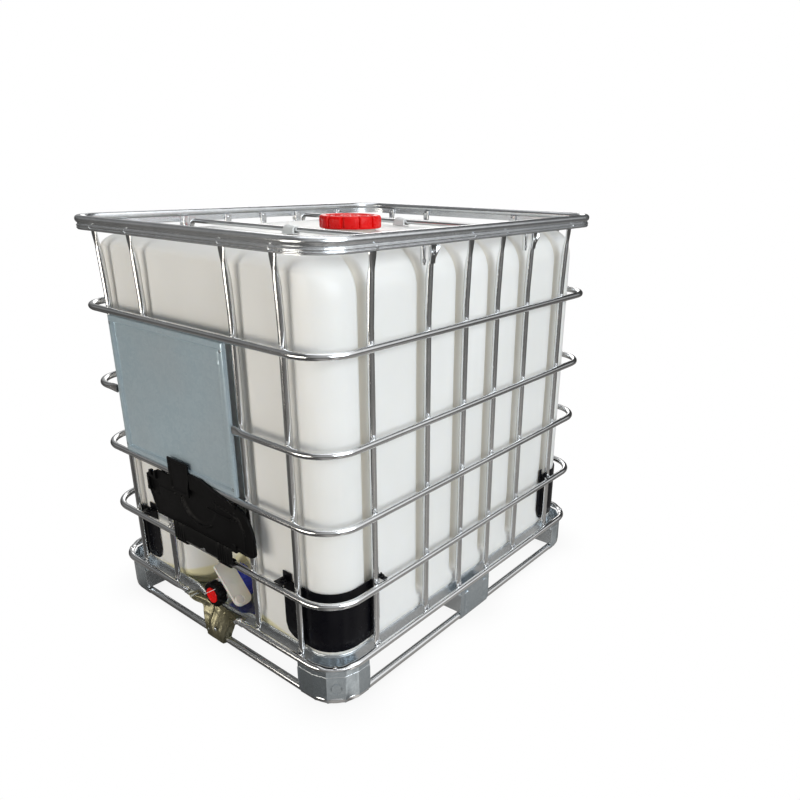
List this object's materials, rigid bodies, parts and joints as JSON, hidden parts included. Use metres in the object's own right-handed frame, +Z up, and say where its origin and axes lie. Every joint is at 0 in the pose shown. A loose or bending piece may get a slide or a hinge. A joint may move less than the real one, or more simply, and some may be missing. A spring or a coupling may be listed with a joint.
{
  "type": "intermediate bulk container",
  "caption": "Caged intermediate bulk container: a white plastic bottle with a screw lid and a bottom valve in a galvanised tube cage, on a low steel pallet.",
  "frame": {"origin": "on the ground, under the middle of the cage", "axes": "+Z up, +Y along the long sides away from the valve, +X to the right seen from the valve side"},
  "size_m": [1, 1.2053, 1.138],
  "materials": {
    "zinc_tube": "galvanised, fine spangle, satin",
    "zinc_sheet": "galvanised sheet, satin",
    "white_plastic": "natural white polyethylene, slightly translucent",
    "natural_plastic": "undyed polyethylene",
    "black_plastic": "moulded black",
    "red_plastic": "moulded red",
    "blue_plastic": "moulded blue",
    "gasket_rubber": "matt"
  },
  "bodies": {
    "frame_and_bottle": {"top_rim": "zinc_tube", "hoop_upper": "zinc_tube", "hoop_upper_mid": "zinc_tube", "hoop_lower_mid": "zinc_tube", "hoop_lower": "zinc_tube", "bottom_rail": "zinc_tube", "upright_front_1": "zinc_tube", "upright_front_2": "zinc_tube", "upright_front_3": "zinc_tube", "upright_front_4": "zinc_tube", "upright_back_1": "zinc_tube", "upright_back_2": "zinc_tube", "upright_back_3": "zinc_tube", "upright_back_4": "zinc_tube", "upright_left_1": "zinc_tube", "upright_left_2": "zinc_tube", "upright_left_3": "zinc_tube", "upright_left_4": "zinc_tube", "upright_left_5": "zinc_tube", "upright_left_6": "zinc_tube", "upright_right_1": "zinc_tube", "upright_right_2": "zinc_tube", "upright_right_3": "zinc_tube", "upright_right_4": "zinc_tube", "upright_right_5": "zinc_tube", "upright_right_6": "zinc_tube", "top_bar_front": "zinc_tube", "top_bar_back": "zinc_tube", "bar_clip_front": "white_plastic", "bar_clip_back": "white_plastic", "sign_plate": "zinc_sheet", "tray": "zinc_sheet", "ground_ring": "zinc_tube", "foot_front_right": "zinc_sheet", "foot_front_left": "zinc_sheet", "foot_back_right": "zinc_sheet", "foot_back_left": "zinc_sheet", "foot_right": "zinc_sheet", "foot_left": "zinc_sheet", "foot_back": "zinc_sheet", "valve_chute": "zinc_sheet", "bottle": "white_plastic", "corner_guard_front_right": "black_plastic", "corner_guard_front_left": "black_plastic", "corner_guard_back_right": "black_plastic", "corner_guard_back_left": "black_plastic", "valve_nut": "blue_plastic", "valve_body": "natural_plastic"},
    "lid_seal": {"lid_gasket": "gasket_rubber"},
    "screw_lid": {"lid": "red_plastic"},
    "cap_seal": {"cap_gasket": "gasket_rubber"},
    "screw_cap": {"outlet_cap": "black_plastic", "cap_disc": "red_plastic"},
    "lever": {"valve_lever": "natural_plastic", "valve_stem": "black_plastic"},
    "flap": {"valve_flap": "black_plastic"}
  },
  "joints": [
    {"name": "lid_lift", "type": "slide", "parent": "frame_and_bottle", "child": "lid_seal", "axis": [0, 0, 1], "range_m": [0, 0.012]},
    {"name": "lid_turn", "type": "hinge", "parent": "lid_seal", "child": "screw_lid", "pos_m": [0, 0, 1.12], "axis": [0, 0, 1], "range_deg": [0, 720]},
    {"name": "cap_back_off", "type": "slide", "parent": "frame_and_bottle", "child": "cap_seal", "axis": [0, -1, 0], "range_m": [0, 0.01]},
    {"name": "cap_turn", "type": "hinge", "parent": "cap_seal", "child": "screw_cap", "pos_m": [0, -0.575, 0.143], "axis": [0, -1, 0], "range_deg": [0, 720]},
    {"name": "valve_turn", "type": "hinge", "parent": "frame_and_bottle", "child": "lever", "pos_m": [0, -0.545, 0.143], "axis": [-0.7071, 0, -0.7071], "range_deg": [0, 90]},
    {"name": "flap_turn", "type": "hinge", "parent": "frame_and_bottle", "child": "flap", "pos_m": [0, -0.591, 0.293], "axis": [1, 0, 0], "range_deg": [0, 155]}
  ],
  "couplings": [
    {"joint": "lid_lift", "follows": "lid_turn", "m_per_rad": 0.00095493},
    {"joint": "cap_back_off", "follows": "cap_turn", "m_per_rad": 0.00079577}
  ]
}
